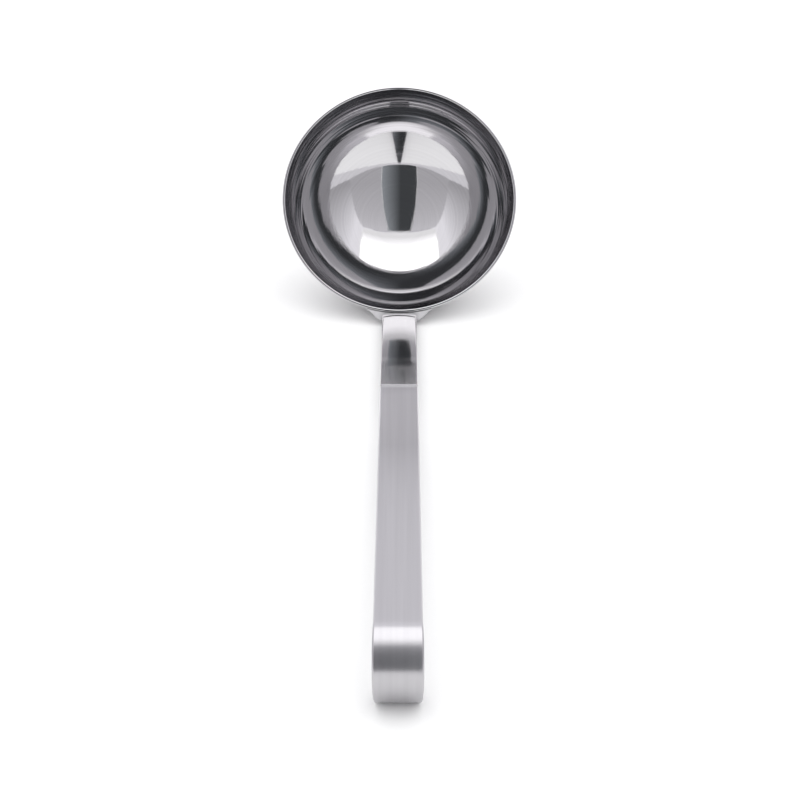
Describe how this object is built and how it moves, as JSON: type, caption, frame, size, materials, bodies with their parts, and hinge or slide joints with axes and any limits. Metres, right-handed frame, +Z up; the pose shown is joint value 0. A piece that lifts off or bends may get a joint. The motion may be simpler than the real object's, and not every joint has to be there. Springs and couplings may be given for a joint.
{
  "type": "ladle",
  "caption": "Soup ladle with a round mirror-polished bowl, a forged neck welded to its wall, and a long satin strap handle that ends in a hook.",
  "frame": {"origin": "on the table, under the middle of the lying ladle's bounding box", "axes": "+Z up, +Y from the hook towards the bowl, +X to the right when seen from the hook's end"},
  "size_m": [0.0898, 0.3376, 0.0752],
  "materials": {
    "bowl_mirror": "stainless steel, mirror polished inside and outside",
    "neck_mirror": "stainless steel, mirror polished with faint lengthwise polishing lines",
    "handle_satin": "stainless steel, satin, brushed lengthwise, with brighter rounded edges"
  },
  "bodies": {
    "root": {"bowl": "bowl_mirror", "neck": "neck_mirror", "handle": "handle_satin"}
  },
  "joints": []
}
